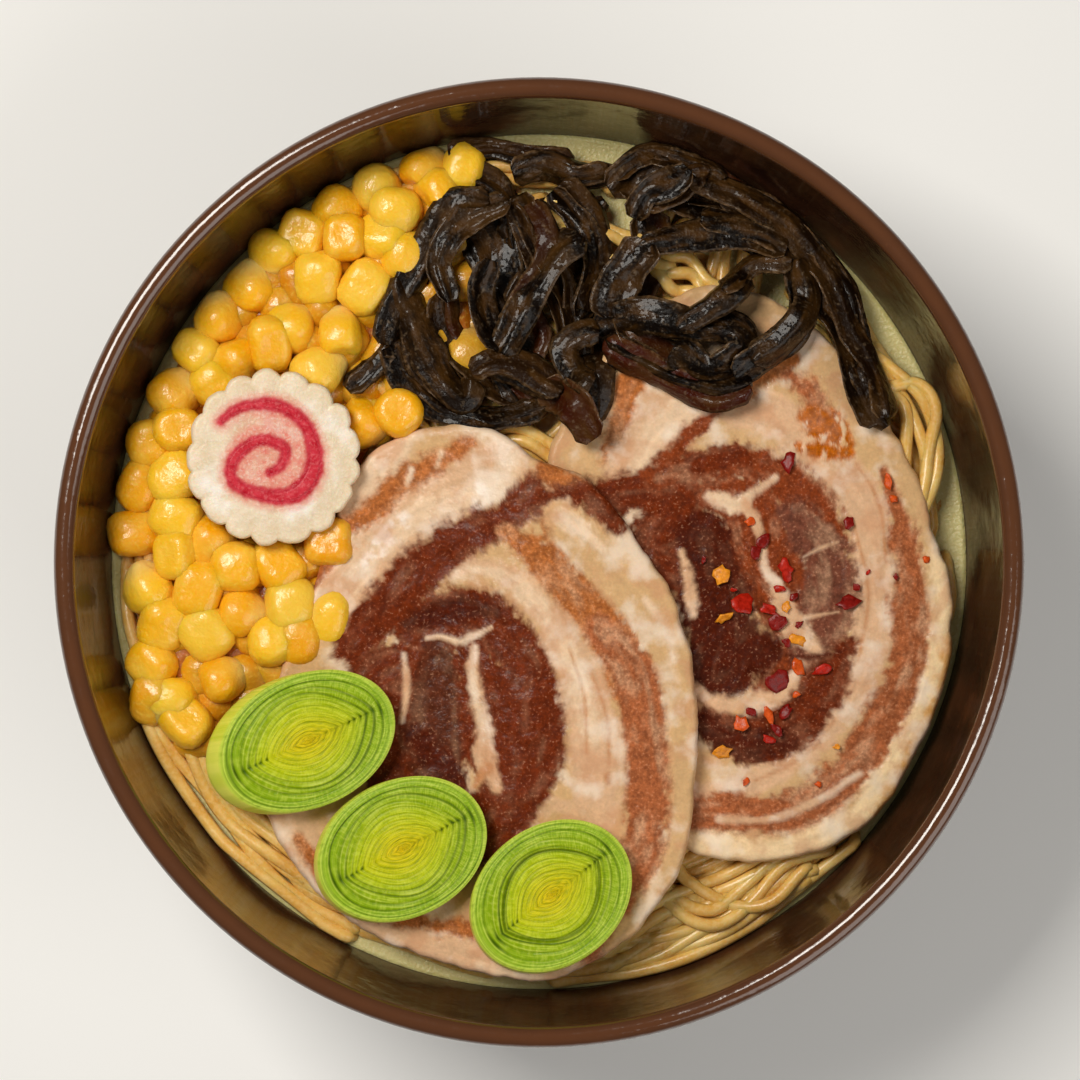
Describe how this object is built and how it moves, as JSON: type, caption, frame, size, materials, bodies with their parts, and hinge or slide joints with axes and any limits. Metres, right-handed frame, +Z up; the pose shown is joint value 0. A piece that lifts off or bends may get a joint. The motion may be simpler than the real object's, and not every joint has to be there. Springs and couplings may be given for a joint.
{
  "type": "ramen bowl",
  "caption": "Round footed bowl filled with noodle soup, rolled pork slices, sweetcorn, black fungus strips, swirled fish cake and leek slices.",
  "frame": {"origin": "centre of the foot ring's underside, where the bowl stands", "axes": "+Z up; seen from above with +Y away from the viewer, the corn lies at -X and the back pork slice at +X"},
  "size_m": [0.191, 0.191, 0.08],
  "materials": {
    "bowl_glaze": "dark brown gloss glaze",
    "soup": "opaque yellow broth, wet",
    "noodles": "yellow wheat noodles, wet",
    "corn": "yellow sweetcorn, wet",
    "fungus": "near-black wood ear fungus, glossy",
    "pork": "braised pork belly, marbled, moist",
    "leek": "green leek, moist",
    "fish_cake": "off-white fish paste, moist",
    "fish_cake_pink": "pink fish paste, moist"
  },
  "bodies": {
    "root": {"bowl": "bowl_glaze", "soup": "soup", "noodles": "noodles", "corn": "corn", "fungus": "fungus", "pork_front": "pork", "pork_back": "pork", "leek_1": "leek", "leek_2": "leek", "leek_3": "leek", "fish_cake": "fish_cake", "fish_cake_swirl": "fish_cake_pink"}
  },
  "joints": []
}
